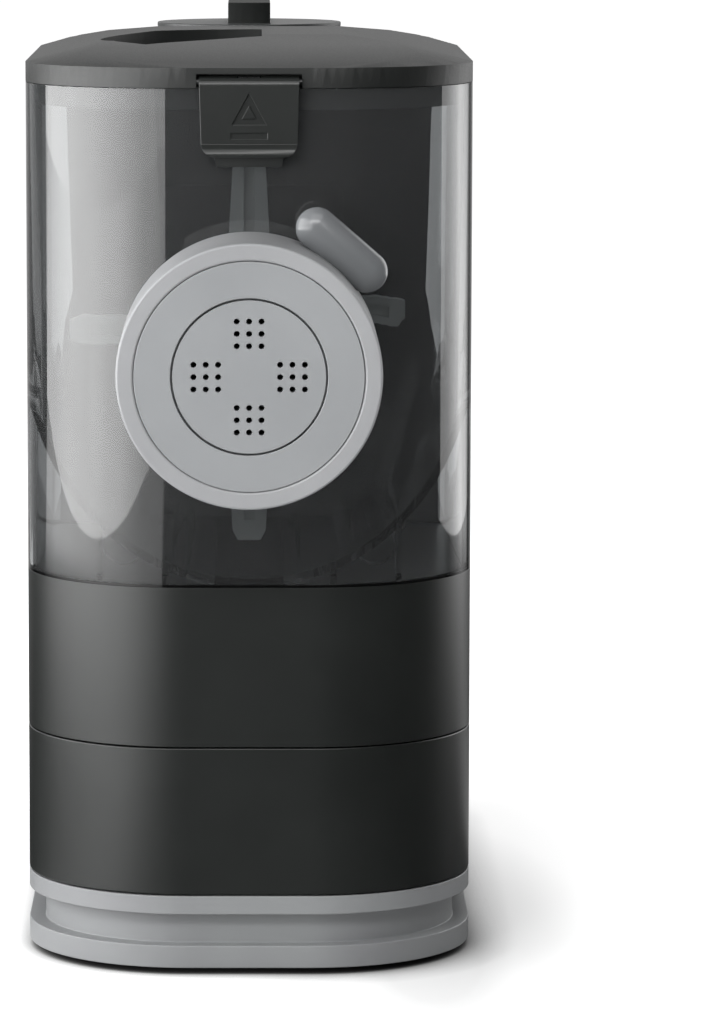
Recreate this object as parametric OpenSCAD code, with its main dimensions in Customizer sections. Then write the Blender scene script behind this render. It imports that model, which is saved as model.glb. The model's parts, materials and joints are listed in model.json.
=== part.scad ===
// Compact electric pasta maker: smoked mixing chamber, hinged lid with latch, bayonet ring that
// holds the shaping disc, storage drawer, gear train and motor. The front faces -Y.

/* [Body] */
// Width of the body
body_w = 135; // [125:1:145]
// Plan radius of the front corners
front_r = 49; // [40:1:54]
// Plan radius of the rear corners
rear_r = 50; // [30:1:56]
// Wall of the black mouldings
wall = 2.5; // [2:0.1:3.2]
// Parting gap between mouldings
part_gap = 0.4; // [0.3:0.1:0.8]
// Depth from the front panel to the face of the motor tower
tower_y = 150; // [146:1:156]
// How far the tower stands in from the sides at its waist
waist_in = 9.5; // [8:0.5:11]
// How far the tower stands in from the sides at its hip
hip_in = 2.7; // [2:0.1:4]
// Room behind the motor's shaft, up to the rear wall
rear_room = 18; // [14:1:30]

/* [Base] */
// Height of the rubber feet below the base
foot_h = 2; // [1.5:0.1:3]
// Radius of a rubber foot
foot_r = 8; // [6:0.5:10]
// Lower flange of the base
flange_low_h = 6.8; // [5:0.1:9]
// Groove round the base
groove_h = 9.5; // [6:0.1:12]
// Upper flange of the base
flange_top_h = 5.6; // [4:0.1:8]
// Depth of the groove
groove_in = 5; // [3:0.5:7]

/* [Drawer and deck] */
// Height of the drawer
drawer_h = 45.1; // [38:0.1:50]
// Room between the drawer and the motor's compartment
drawer_room = 3; // [2:0.5:10]
// Height of the band between drawer and chamber
deck_h = 47.9; // [44:0.1:54]
// Travel of the drawer
drawer_travel = 140; // [100:1:150]

/* [Chamber and lid] */
// Height of the clear chamber
chamber_h = 147.7; // [142:0.1:155]
// Wall of the clear chamber
chamber_wall = 2.5; // [2:0.1:3]
// Height of the lid's rim
rim_h = 5.9; // [5:0.1:8]
// Depth that the lid's skirt reaches into the chamber
skirt_h = 6.5; // [5:0.1:9]
// Clearance between skirt and chamber
skirt_gap = 1.2; // [1:0.1:1.6]
// Height of the lid's crown above its rim
crown_h = 6.1; // [5:0.1:8]
// Height of the top cover's rim
cover_rim_h = 3.6; // [3:0.1:4.4]
// Height of the top cover's crown above its rim
cover_crown_h = 5.8; // [5:0.1:6.4]
// Radius of the hinge knuckles
knuckle_r = 2.9; // [2.5:0.1:3.2]
// Radius of the hinge pin
hinge_pin_r = 1.2; // [1:0.1:1.5]
// Width of the latch
latch_w = 29.5; // [24:0.5:36]
// Length of the latch below its pin
latch_l = 20; // [17:0.5:22]

/* [Extruder] */
// Reach of the locking ring in front of the body
ring_out = 46; // [44:1:50]
// Outer radius of the locking ring
ring_r = 38.3; // [36:0.1:42]
// Radius of the seam between ring and face plate
face_r = 33.1; // [31:0.1:34]
// Radius of the shaping disc's boss
disc_r = 22; // [20.5:0.1:22.5]
// Clearance round the shaping disc
disc_gap = 0.6; // [0.4:0.1:0.8]
// Diameter of an extrusion hole
hole_d = 1.7; // [1.4:0.1:2.2]
// Pitch of the extrusion holes
hole_pitch = 3.54; // [3.2:0.02:3.8]
// Distance of the hole groups from the disc's centre
group_r = 12.4; // [11:0.1:13]
// Bore radius of the extrusion tube
tube_r = 22; // [20.5:0.1:22.5]
// Wall of the extrusion tube
tube_wall = 2.6; // [2:0.1:3]
// Core radius of the auger
auger_core_r = 7; // [6:0.5:8]
// Pitch of the auger's flight
auger_pitch = 24; // [20:1:30]
// Running clearance of the auger in its tube
auger_gap = 0.8; // [0.5:0.1:1.2]
// Distance of the first mixing arm from the front panel
arm_first = 35; // [33:0.5:40]
// Distance from one mixing arm to the next along the shaft
arm_pitch = 30.5; // [28:0.5:31]
// Reach of the longest mixing arm from the shaft
arm_reach = 57.5; // [54:0.5:59]
// Width of a mixing arm at its root
arm_root = 12.8; // [11:0.1:14]
// Width of a mixing arm at its tip
arm_tip = 10; // [7:0.1:11]
// Width of the two level arms
arm_level = 8.7; // [7:0.1:10]
// Thickness of a mixing arm along the shaft
arm_t = 6; // [5:0.5:8]
// Height of the two level arms above the shaft's axis
arm_off = 3; // [2:0.1:5]

/* [Drive] */
// Radius of the output shaft
shaft_r = 5; // [4.5:0.5:5.5]
// Radius across the corners of the hexagonal drive end
hex_r = 6.6; // [6:0.1:7]
// Teeth of the output gear
output_teeth = 46; // [40:1:46]
// Teeth of the small gear on the lay shaft
lay_small_teeth = 14; // [13:1:14]
// Module of the second stage
module_2 = 1.5; // [1.4:0.05:1.5]
// Teeth of the large gear on the lay shaft
lay_big_teeth = 60; // [54:1:60]
// Teeth of the motor's pinion
pinion_teeth = 12; // [11:1:12]
// Module of the first stage
module_1 = 1.25; // [1.1:0.05:1.25]
// Face width of the first stage
face_w1 = 8; // [6:0.5:9]
// Face width of the second stage
face_w2 = 10; // [8:0.5:11]
// Thinning of each tooth for backlash
backlash = 0.16; // [0.1:0.02:0.24]
// Outer radius of the motor's stator
stator_r = 31; // [28:0.5:31.5]
// Length of the stator's stack
stator_l = 36; // [30:1:38]
// Air gap between rotor and stator
air_gap = 0.6; // [0.4:0.1:0.8]
// Radius of the motor's shaft
motor_shaft_r = 3; // [2.5:0.1:3]
// Outer radius of the cooling fan
fan_r = 26; // [22:0.5:28]
// Blades of the cooling fan
fan_blades = 9; // [7:1:11]

/* [Control] */
// Radius of the dial
dial_r = 30.8; // [26:0.1:31]
// Distance of the dial from the front panel
dial_y = 230; // [226:1:232]
// Height of the dial's disc
dial_h = 1.6; // [1.2:0.1:2.4]
// Width of the dial's grip
grip_w = 14; // [11:0.5:17]
// Height of the grip above the disc
grip_h = 7; // [5:0.5:9]

/* [Hidden] */

fine = 96;
mid = 48;
eps = 0.01;
fit = 0.3;
run = 0.05;

// Levels above the floor
tray_h = flange_low_h + groove_h + flange_top_h;
drawer_z = foot_h + tray_h;
deck_z = drawer_z + drawer_h;
chamber_z = deck_z + deck_h;
rim_z = chamber_z + chamber_h;
crown_z = rim_z + rim_h;
cover_z = rim_z + cover_rim_h;
axis_z = chamber_z + body_w / 2;

// Lid hinge
hinge_y = tower_y + 22;
hinge_z = crown_z + crown_h - knuckle_r - 1;
lid_end_y = hinge_y - knuckle_r - 0.6;
cover_start_y = hinge_y + 5;

// Tower, chamber and cover meet the lid just below its rim
seat_z = rim_z - 0.2;
chamber_d = tower_y - 1.3;

// Gear train, all shafts parallel to Y
centre_2 = (output_teeth + lay_small_teeth) * module_2 / 2;
centre_1 = (lay_big_teeth + pinion_teeth) * module_1 / 2;
lay_z = axis_z - centre_2;
motor_z = lay_z - centre_1;
case_y = tower_y + wall + 2;
case_wall = 2.5;
stage1_y = case_y + case_wall + 3;
stage2_y = stage1_y + face_w1 + 4;
case_end_y = stage2_y + face_w2 + 3;
case_r = lay_big_teeth * module_1 / 2 + module_1 + 1.5 + case_wall;
case_low_z = motor_z + case_r - pinion_teeth * module_1 / 2 - module_1 - 3;

// Motor
bracket_t = 4;
motor_y = case_end_y + case_wall + 4;
stator_y = motor_y + bracket_t + 10;
rotor_r = stator_r * 0.62;
bracket2_y = stator_y + stator_l + 18;
fan_y = bracket2_y + bracket_t + 3;
fan_t = 8;
shaft_end_y = fan_y + fan_t + 1;

// Depth of the body: chamber, gearbox, motor and the room behind it
body_d = shaft_end_y + rear_room + wall;

// The frame's origin lies under the middle of the whole depth, ring included
front_y = (ring_out - body_d) / 2;

// Drawer, in front of the motor's compartment
bay_end_y = motor_y - wall;
drawer_d = bay_end_y - drawer_room;
rail_in = 8;
rail_t = 2.5;
tray_in = rail_in + rail_t + 1.2;
rail_y = front_r - 12;

// ---------------------------------------------------------------- helpers
module at_front() {
    translate([0, front_y, 0]) children();
}

// Rounded plan outline with its front edge at y = 0
module outline(w, d, rf, rr, inset = 0) {
    hw = w / 2 - inset;
    f = max(rf - inset, 1);
    r = max(rr - inset, 1);
    union() {
        translate([-hw + f, inset]) square([2 * (hw - f), d / 2]);
        translate([-hw, inset + f]) square([2 * hw, d - 2 * inset - f - r]);
        translate([-hw + r, d / 2]) square([2 * (hw - r), d / 2 - inset]);
        for (s = [-1, 1]) {
            translate([s * (hw - f), inset + f]) circle(f, $fn = fine);
            translate([s * (hw - r), d - inset - r]) circle(r, $fn = fine);
        }
    }
}

module body_plan(inset = 0) {
    outline(body_w, body_d, front_r, rear_r, inset);
}

module chamber_plan(inset = 0) {
    outline(body_w, chamber_d, front_r, 6, inset);
}

// Cylinder along +Y from y to y + l, centred on x, z
module y_cyl(r, y, l, z = 0, x = 0, n = mid) {
    translate([x, y, z]) rotate([-90, 0, 0]) cylinder(r = r, h = l, $fn = n);
}

// Box given by its X width about the middle, Y span and Z span
module span(w, y0, y1, z0, z1, x = 0) {
    translate([x - w / 2, y0, z0]) cube([w, y1 - y0, z1 - z0]);
}

// Slab of an outline between two heights
module slab(z0, z1) {
    translate([0, 0, z0]) linear_extrude(z1 - z0) children();
}

// Profile drawn in X and Z, extruded along +Y
module along_y(y0, y1) {
    translate([0, y1, 0]) rotate([90, 0, 0]) linear_extrude(y1 - y0) children();
}

// Profile drawn in Y and Z, extruded along X about the middle
module along_x(w) {
    translate([-w / 2, 0, 0]) rotate([90, 0, 90]) linear_extrude(w) children();
}

// Involute gear outline
function involute(rb, t) = [
    rb * (cos(t) + t * PI / 180 * sin(t)),
    rb * (sin(t) - t * PI / 180 * cos(t))
];
function inv_angle(rb, r) = sqrt(max(r * r / (rb * rb) - 1, 0)) * 180 / PI;
function turn(p, a) = [p[0] * cos(a) - p[1] * sin(a), p[0] * sin(a) + p[1] * cos(a)];

module gear_2d(teeth, m) {
    pitch_r = teeth * m / 2;
    base_r = pitch_r * cos(20);
    tip_r = pitch_r + 0.95 * m;
    root_r = pitch_r - 1.25 * m;
    pitch_t = inv_angle(base_r, pitch_r);
    pitch_p = involute(base_r, pitch_t);
    half = 90 / teeth - backlash / 2 / pitch_r * 180 / PI;
    shift = half + atan2(pitch_p[1], pitch_p[0]);
    start_r = max(base_r, root_r + 0.05);
    flank = [for (k = [0:3])
        let (r = start_r + (tip_r - start_r) * k / 3)
        turn(involute(base_r, inv_angle(base_r, r)), -shift)];
    root = turn([root_r, 0], -shift);
    polygon([for (i = [0:teeth - 1]) let (a = i * 360 / teeth)
        each concat(
            [turn(root, a)],
            [for (p = flank) turn(p, a)],
            [for (k = [3:-1:0]) turn([flank[k][0], -flank[k][1]], a)],
            [turn([root[0], -root[1]], a)]
        )]);
}

// ---------------------------------------------------------------- base
module base_tray() {
    color("#9a9b9d") at_front() difference() {
        union() {
            slab(foot_h, foot_h + flange_low_h) body_plan();
            slab(foot_h, drawer_z) body_plan(groove_in);
            slab(drawer_z - flange_top_h, drawer_z) body_plan();
        }
        foot_places() cylinder(r = foot_r + 0.1, h = foot_h + 3, $fn = mid);
        base_screw_places() {
            translate([0, 0, -1]) cylinder(r = 4.2, h = foot_h + 5, $fn = 32);
            cylinder(r = 2.1, h = drawer_z + 1, $fn = 24);
        }
    }
}

foot_in = 34;
foot_x = body_w / 2 - 24;
base_screw_x = foot_x - 11.5;

module foot_places() {
    for (s = [-1, 1], y = [foot_in, body_d - foot_in]) translate([s * foot_x, y, 0]) children();
}

module base_screw_places() {
    for (s = [-1, 1], y = [bay_end_y + 14, house_end_y - 10])
        translate([s * base_screw_x, y, 0]) children();
}

module rubber_feet() {
    color("#202020") at_front() foot_places() cylinder(r = foot_r, h = foot_h + 3, $fn = mid);
}

module base_screws() {
    color("silver") at_front() base_screw_places() {
        translate([0, 0, foot_h + 2]) cylinder(r = 3.6, h = 2, $fn = 32);
        translate([0, 0, foot_h + 4 - eps]) cylinder(r = 1.9, h = tray_h - 2, $fn = 24);
    }
}

// ---------------------------------------------------------------- housing
// Front view of the tower: narrow at the waist, wide at the hip round the trough
module tower_profile(inset = 0) {
    hw = body_w / 2 - inset;
    top_x = hw - waist_in + 2;
    waist_x = hw - waist_in;
    hip_x = hw - hip_in;
    shin_x = hw - hip_in - 2;
    waist_z = axis_z + 7;
    hip_z = axis_z - 16;
    shin_z = axis_z - 28;
    polygon([
        [-shin_x, deck_z], [-shin_x, shin_z], [-hip_x, hip_z], [-waist_x, waist_z],
        [-top_x, seat_z], [top_x, seat_z], [waist_x, waist_z], [hip_x, hip_z], [shin_x, shin_z],
        [shin_x, deck_z]
    ]);
}

module tower(inset, y0, y1, z0, z1) {
    intersection() {
        along_y(y0, y1) tower_profile(inset);
        slab(z0, z1) body_plan(hip_in + inset);
    }
}

house_end_y = body_d - rear_r - 4;

module main_housing() {
    color("#1f2120") at_front() difference() {
        union() {
            intersection() {
                slab(deck_z, chamber_z) body_plan();
                span(body_w, 0, house_end_y, deck_z, chamber_z);
            }
            span(body_w, bay_end_y, house_end_y, drawer_z, deck_z + eps);
            tower(0, tower_y, house_end_y, chamber_z - 1, seat_z);
            for (s = [-1, 1]) {
                span(rail_t, rail_y, bay_end_y + 1, drawer_z, deck_z + 1, s * (body_w / 2 - rail_in));
            }
        }
        // Room for motor, gears and board
        span(body_w - 2 * wall, bay_end_y + wall, house_end_y + 1, drawer_z + wall,
            chamber_z - wall);
        intersection() {
            slab(deck_z + wall, chamber_z - wall) body_plan(wall);
            span(body_w, wall, house_end_y + 1, deck_z + wall, chamber_z - wall);
        }
        tower(wall, tower_y + wall, house_end_y + 1, chamber_z - wall - eps, rim_z + 1);
        // Bore for the output bush, holes for the screws of the drive plate
        y_cyl(bush_r, tower_y - 1, wall + 2, axis_z);
        plate_screw_places() y_cyl(1.6, tower_y - 1, wall + 2, 0, 0, 24);
        base_screw_places() cylinder(r = 2.1, h = drawer_z + wall + 1, $fn = 24);
    }
    color("#1f2120") at_front() difference() {
        screw_posts();
        for (c = cover_screws, s = [-1, 1])
            y_cyl(1.55, body_d - c[2] - 14, 20, c[1], s * c[0], 24);
    }
}

bush_r = shaft_r + 3;

// Screws of the rear cover: [x, height, distance of the wall from the back, start of the post]
cover_screws = [
    [20, rim_z - 14.6, hip_in, tower_y + wall - 1],
    [25, drawer_z + 34, 0, bay_end_y + wall - 1]
];

post_gap = 1.6;

module screw_posts() {
    for (c = cover_screws, s = [-1, 1])
        y_cyl(4, c[3], body_d - c[2] - wall - post_gap - c[3], c[1], s * c[0], 32);
}

plate_w = 61;
plate_t = 1;
plate_up = 42;
plate_down = 30;

module plate_screw_places() {
    for (s = [-1, 1]) translate([s * (plate_w / 2 + 6.1), 0, axis_z + plate_up + 7]) children();
}

// Plate on the tower's face that carries the output bush
module drive_plate() {
    color("#161818") at_front() difference() {
        along_y(tower_y - plate_t, tower_y) plate_outline();
        y_cyl(bush_r + 0.1, tower_y - 3, 5, axis_z);
    }
}

module plate_outline() {
    r = 3.6;
    z0 = axis_z - plate_down;
    z1 = axis_z + plate_up;
    translate([-plate_w / 2 + r, z0]) square([plate_w - 2 * r, z1 - z0]);
    translate([-plate_w / 2, z0 + r]) square([plate_w, z1 - z0 - 2 * r]);
    for (s = [-1, 1], z = [z0 + r, z1 - r]) translate([s * (plate_w / 2 - r), z]) circle(r, $fn = 32);
}

module plate_screws() {
    color("#2a2c2c") at_front() plate_screw_places() {
        y_cyl(3.4, tower_y - 0.9, 0.9, 0, 0, 32);
        y_cyl(1.5, tower_y - eps, wall + 4, 0, 0, 24);
    }
}

// Lower rear moulding, round the motor
module rear_cover() {
    color("#1f2120") at_front() difference() {
        intersection() {
            slab(drawer_z, chamber_z) body_plan();
            span(body_w, house_end_y + part_gap, body_d, drawer_z, chamber_z);
        }
        intersection() {
            slab(drawer_z - 1, chamber_z - wall) body_plan(wall);
            span(body_w, house_end_y, body_d, drawer_z - 1, chamber_z);
        }
        tower(wall, house_end_y, body_d - wall - hip_in, chamber_z - wall - eps, rim_z + 1);
        // Louvres over the fan
        for (z = [motor_z - 30:7.5:motor_z + 10])
            span(46, body_d - wall - 2, body_d + 1, z, z + 3);
        // Cord inlet
        y_cyl(inlet_r, body_d - wall - 2, wall + 4, inlet_z, inlet_x);
        cover_screw_holes(cover_screws[1]);
    }
}

// Upper rear moulding, round the gearbox
module tower_back() {
    color("#1f2120") at_front() difference() {
        tower(0, house_end_y + part_gap, body_d, chamber_z, seat_z);
        tower(wall, house_end_y, body_d - wall - hip_in, chamber_z - 1, rim_z + 1);
        cover_screw_holes(cover_screws[0]);
    }
}

module cover_screw_holes(c) {
    for (s = [-1, 1]) {
        y_cyl(1.6, body_d - 20, 24, c[1], s * c[0], 24);
        y_cyl(3.2, body_d - c[2] - 1.4, 6, c[1], s * c[0], 32);
    }
}

inlet_r = 6;
inlet_x = -(body_w / 2 - rear_r - 9);
inlet_z = drawer_z + 12;

module rear_screws() {
    color("#2a2c2c") at_front() for (c = cover_screws, s = [-1, 1]) {
        y_cyl(3, body_d - c[2] - 1.4, 1.2, c[1], s * c[0], 32);
        y_cyl(1.5, body_d - c[2] - 12, 10.6 + eps, c[1], s * c[0], 24);
    }
}

// Rubber gland of the mains cord
module cord_inlet() {
    color("#151515") at_front() difference() {
        union() {
            y_cyl(inlet_r - 0.05, body_d - wall - 3, wall + 3, inlet_z, inlet_x);
            y_cyl(inlet_r + 2, body_d - wall - 3, 3, inlet_z, inlet_x);
        }
        y_cyl(3.2, body_d - wall - 4, wall + 6, inlet_z, inlet_x, 32);
    }
}

// Shallow crown on a rim at z0: stacked plan outlines, hulled. Each has its inset at the sides, its
// start behind the front and its share of the height
module crown(z0, h, y0, y1, side, front, rise) {
    intersection() {
        hull() for (k = [0:len(rise) - 1])
            translate([0, 0, z0 + h * rise[k]]) linear_extrude(eps) intersection() {
                body_plan(side[k]);
                translate([-body_w / 2, front[k]]) square([body_w, body_d - front[k] - side[k]]);
            }
        span(body_w, y0, y1, 0, z0 + h + 1);
    }
}

cover_hollow_z = cover_z + cover_crown_h * 0.2;

module tower_cover() {
    color("#2b2d2c") at_front() difference() {
        union() {
            intersection() {
                slab(seat_z, cover_z + eps) body_plan();
                span(body_w, cover_start_y, body_d, rim_z - 1, crown_z + 1);
            }
            crown(cover_z, cover_crown_h, cover_start_y, body_d, [0, 6, 16, 30, 40],
                [0, 0, 0, 0, 0], [0, 0.3, 0.6, 0.85, 1]);
            // Ledge that closes the tower below the hinge
            span(2 * (body_w / 2 - waist_in - wall - 1), tower_y + wall + fit, cover_start_y + wall,
                seat_z - 2, seat_z);
            span(2 * (body_w / 2 - waist_in - wall - 1), cover_start_y, cover_start_y + wall,
                seat_z - 2, seat_z + 1);
            for (x = knuckle_x) span(7.5, hinge_y, cover_start_y + 1, hinge_z - knuckle_r,
                hinge_z, x);
            for (x = knuckle_x) x_cyl(knuckle_r, x, 7.5);
        }
        slab(rim_z - 1, cover_hollow_z) intersection() {
            body_plan(waist_in + 3);
            translate([-body_w / 2, cover_start_y + wall]) square([body_w, body_d]);
        }
        for (x = knuckle_x) x_cyl(hinge_pin_r + run, x, 9);
        translate([0, dial_y, cover_z - 2]) cylinder(r = dial_shaft_r + 0.4, h = 12, $fn = mid);
    }
}

knuckle_mid = 28.5;
knuckle_x = [-knuckle_mid - 7.5, -knuckle_mid + 7.5, knuckle_mid - 7.5, knuckle_mid + 7.5];
lid_knuckle_x = [-knuckle_mid, knuckle_mid];

// Cylinder along X, centred on x, at the lid's hinge unless placed elsewhere
module x_cyl(r, x, l, y = hinge_y, z = hinge_z, n = 32) {
    translate([x - l / 2, y, z]) rotate([0, 90, 0]) cylinder(r = r, h = l, $fn = n);
}

// ---------------------------------------------------------------- drawer
module drawer_front() {
    color("#1f2120") at_front() difference() {
        intersection() {
            slab(drawer_z + part_gap, deck_z - part_gap) body_plan();
            span(body_w, 0, drawer_d, drawer_z, deck_z);
        }
        intersection() {
            slab(drawer_z - 1, deck_z + 1) body_plan(wall);
            span(body_w, 12, drawer_d + 1, drawer_z - 1, deck_z + 1);
        }
        // Finger grips in the sides
        for (s = [-1, 1])
            span(2.4, grip_y, grip_y + grip_l, drawer_z + 8, drawer_z + 20, s * body_w / 2);
    }
}

grip_y = 58;
grip_l = 34;

module drawer_tray() {
    tray_w = body_w - 2 * tray_in;
    floor_z = drawer_z + fit;
    color("#3a3c3c") at_front() difference() {
        intersection() {
            span(tray_w, 12, drawer_d - 2, floor_z, deck_z - 4);
            slab(drawer_z, deck_z) body_plan(wall + 0.1);
        }
        for (k = [0, 1]) let (l = (drawer_d - 14 - 3 * 2) / 2)
            intersection() {
                span(tray_w - 4, 14 + k * (l + 2), 14 + l + k * (l + 2), floor_z + 2, deck_z);
                slab(drawer_z, deck_z + 1) body_plan(wall + 2.1);
            }
    }
}

// ---------------------------------------------------------------- chamber
module trough(r, y0, y1) {
    along_y(y0, y1) translate([0, axis_z]) {
        circle(r, $fn = fine);
        translate([-r, 0]) square([2 * r, chamber_h]);
    }
}

module mixing_chamber() {
    back_y = chamber_d;
    color("#8c9092", 0.4) at_front() difference() {
        slab(chamber_z, seat_z) chamber_plan();
        // Mixing trough
        intersection() {
            trough(body_w / 2 - chamber_wall, chamber_wall, back_y - chamber_wall);
            slab(chamber_z - 1, rim_z + 1) chamber_plan(chamber_wall);
        }
        // Space below the trough, between its ribs
        difference() {
            intersection() {
                slab(chamber_z - 1, axis_z - 17) chamber_plan(chamber_wall);
                span(body_w, chamber_wall, back_y + 1, chamber_z - 1, axis_z);
            }
            y_cyl(body_w / 2, -1, tower_y + 2, axis_z, 0, fine);
            for (s = [-1, 1], x = rib_x) span(1.6, 0, 26, chamber_z, axis_z, s * x);
            for (s = [-1, 1]) y_cyl(6, 34, 8, chamber_z + 8, s * boss_x, 32);
        }
        y_cyl(tube_r + tube_wall + 0.1, -1, chamber_wall + 8, axis_z);
        y_cyl(seal_r, back_y - chamber_wall - 1, chamber_wall + 3, axis_z);
    }
}

rib_x = [25, 44.5];
boss_x = 38;
hub_r = hex_r + 3.4;
seal_r = hub_r + 3;

module chamber_seal() {
    color("#303233") at_front() difference() {
        y_cyl(seal_r - 0.02, chamber_d - chamber_wall, chamber_wall, axis_z);
        y_cyl(hub_r + 0.1, tower_y - 9, 12, axis_z);
    }
}

// Ridge welded to the chamber's front, straddled by the latch
module latch_keeper() {
    color("#8c9092") at_front() along_x(keeper_w) translate([0, latch_pin_z - keeper_drop])
        polygon([[0, 0], [-keeper_t, 3], [-keeper_t, 4.2], [0, 5]]);
}

// ---------------------------------------------------------------- extruder
tube_flange_r = tube_r + tube_wall + 6;
tube_y = 7 - ring_out;
tube_end_y = 10;
lug_y = -16;
lug_l = 4;
lug_w = 10;
lug_turn = 20;
lug_out = 2.4;

module extrusion_tube() {
    color("#55585a") at_front() difference() {
        union() {
            y_cyl(tube_r + tube_wall, tube_y, tube_end_y - tube_y, axis_z, 0, 64);
            intersection() {
                y_cyl(tube_flange_r, chamber_wall + 0.1, 4.6, axis_z, 0, 64);
                slab(chamber_z, rim_z) chamber_plan(chamber_wall + 0.1);
            }
            for (k = [0:3]) rotate_about_y(90 * k + lug_turn, axis_z)
                span(lug_w, lug_y, lug_y + lug_l, tube_r + tube_wall - 1,
                    tube_r + tube_wall + lug_out);
        }
        y_cyl(tube_r, tube_y - 1, tube_end_y - tube_y + 2, axis_z, 0, 64);
    }
}

auger_y0 = tube_y + 0.6;
auger_y1 = tube_end_y;
drive_y = tower_y - 14;
core_end_y = drive_y - 22;

module auger() {
    flight_l = auger_y1 - auger_y0;
    color("#a3a4a6") at_front() {
        y_cyl(auger_core_r, auger_y0, core_end_y - auger_y0, axis_z);
        translate([0, auger_y0, axis_z]) rotate([-90, 0, 0])
            linear_extrude(flight_l, twist = -360 * flight_l / auger_pitch, slices = 44)
                auger_section();
    }
}

module auger_section() {
    r = tube_r - auger_gap;
    intersection() {
        circle(r, $fn = 40);
        translate([-auger_core_r * 0.5, -2.6]) square([r + auger_core_r, 5.2]);
    }
}

// Four arms on a sleeve, each a quarter turn on from the last; the level ones pass above the shaft
module mixing_paddle() {
    hub_y = auger_y1 + 0.6;
    color("#a3a4a6") at_front() difference() {
        union() {
            y_cyl(hub_r, hub_y, tower_y - 1.6 - hub_y, axis_z);
            for (k = [0:3]) rotate_about_y(180 + 90 * k, axis_z)
                translate([k % 2 * (2 - k) * arm_off, arm_first + k * arm_pitch, 0]) mixing_arm(k);
        }
        y_cyl(auger_core_r + run, auger_y1, core_end_y + 1 - auger_y1, axis_z);
        translate([0, drive_y, axis_z]) rotate([-90, 0, 0])
            cylinder(r = hex_r + 0.15, h = 20, $fn = 6);
    }
}

// Arm along +Z with a shallow channel down its front face
module mixing_arm(k) {
    level = k % 2;
    reach = arm_reach - level * 2.3 * k;
    difference() {
        along_y(-arm_t / 2, arm_t / 2)
            if (level) arm_plan(arm_level, arm_level, reach);
            else arm_plan(arm_root, arm_tip, reach);
        span(arm_tip / 3, -arm_t, -arm_t / 4, hub_r + 4, reach - 6);
    }
}

module arm_plan(root, tip, reach) {
    polygon([
        [-root / 2, 0], [-root / 2, reach / 2], [-tip / 2, reach - 3], [-tip / 2 + 1.6, reach],
        [tip / 2 - 1.6, reach], [tip / 2, reach - 3], [root / 2, reach / 2], [root / 2, 0]
    ]);
}

module shaping_disc() {
    color("#8f9092") at_front() difference() {
        union() {
            y_cyl(disc_r, -ring_out + 0.2, 4, axis_z, 0, 64);
            y_cyl(tube_r + tube_wall, -ring_out + 2.8, tube_y - 1 + ring_out - 2.8, axis_z, 0, 64);
        }
        for (k = [0:3]) translate([0, 0, axis_z]) rotate([0, 90 * k, 0]) translate([0, 0, group_r])
            for (i = [-1:1], j = [-1:1])
                y_cyl(hole_d / 2, -ring_out - 1, 8, i * hole_pitch, j * hole_pitch, 16);
    }
}

module disc_seal() {
    color("#2a2a2a") at_front() difference() {
        y_cyl(tube_r + tube_wall, tube_y - 1, 1, axis_z, 0, 64);
        y_cyl(tube_r + 0.4, tube_y - 2, 3, axis_z, 0, 64);
    }
}

module lock_ring() {
    back = -0.6;
    color("#9a9b9d") at_front() difference() {
        y_cyl(ring_r, -ring_out, ring_out + back, axis_z, 0, fine);
        y_cyl(ring_r - 3, -ring_out + 2.6, ring_out, axis_z, 0, fine);
        y_cyl(face_r + 0.1, -ring_out - 1, 6, axis_z, 0, fine);
    }
}

// Face plate, seated in the ring behind its rim
module ring_face() {
    color("#a0a1a3") at_front() difference() {
        union() {
            y_cyl(face_r, -ring_out, 2.6, axis_z, 0, fine);
            y_cyl(ring_r - 3.1, -ring_out + 2.6, 2, axis_z, 0, fine);
        }
        y_cyl(disc_r + disc_gap, -ring_out - 1, 8, axis_z, 0, 64);
        y_cyl(sleeve_r, -ring_out + 2.6, 8, axis_z, 0, 64);
    }
}

sleeve_r = tube_r + tube_wall + 0.3;
sleeve_t = 2.4;
sleeve_end_y = lug_y - 1;
claw_end_y = lug_y + lug_l + 3;
ring_travel = 45;

// Sleeve that turns on the tube
module ring_sleeve() {
    color("#8f9092") at_front() difference() {
        y_cyl(sleeve_r + sleeve_t, 4.6 - ring_out, sleeve_end_y + ring_out - 4.6, axis_z, 0, 64);
        y_cyl(sleeve_r, -ring_out, ring_out, axis_z, 0, 64);
    }
}

// Bayonet: four claws behind the sleeve, each hooked behind a lug of the tube until the ring turns
module ring_claws() {
    lug_half = asin(lug_w / 2 / (tube_r + tube_wall)) + 1.3;
    web_from = lug_turn + ring_travel + lug_half - 90;
    web_to = lug_turn - lug_half;
    hook_to = web_to + ring_travel;
    color("#8f9092") at_front() for (k = [0:3]) rotate_about_y(90 * k, axis_z) {
        difference() {
            intersection() {
                y_cyl(sleeve_r + sleeve_t, sleeve_end_y, claw_end_y - sleeve_end_y, 0, 0, 64);
                along_y(sleeve_end_y, claw_end_y) sector(web_from, hook_to);
            }
            y_cyl(sleeve_r, -ring_out, ring_out, 0, 0, 64);
            along_y(sleeve_end_y - 1, lug_y + lug_l + fit) sector(web_to, hook_to + 5);
        }
    }
}

module sector(a0, a1) {
    r = 2 * tube_r;
    polygon([[0, 0], [r * sin(a0), r * cos(a0)], [r * sin(a1), r * cos(a1)]]);
}

lever_turn = 39;
lever_l = 28;
lever_r = 7;
lever_y = -18;
lever_t = 9;
module ring_lever() {
    half = lever_l / 2 - lever_r;
    color("#6c6f71") at_front() difference() {
        rotate_about_y(lever_turn, axis_z) hull() for (s = [-1, 1]) {
            y_cyl(lever_r, lever_y + 2.2, lever_t - 4.4, ring_r + 4.7, s * half, 32);
            y_cyl(lever_r - 2.2, lever_y, lever_t, ring_r + 4.7, s * half, 32);
        }
        y_cyl(ring_r + run, -30, 40, axis_z, 0, fine);
    }
}

// ---------------------------------------------------------------- lid
slot_r = 50;
slot_x = 4;
slot_y = 91;

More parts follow.
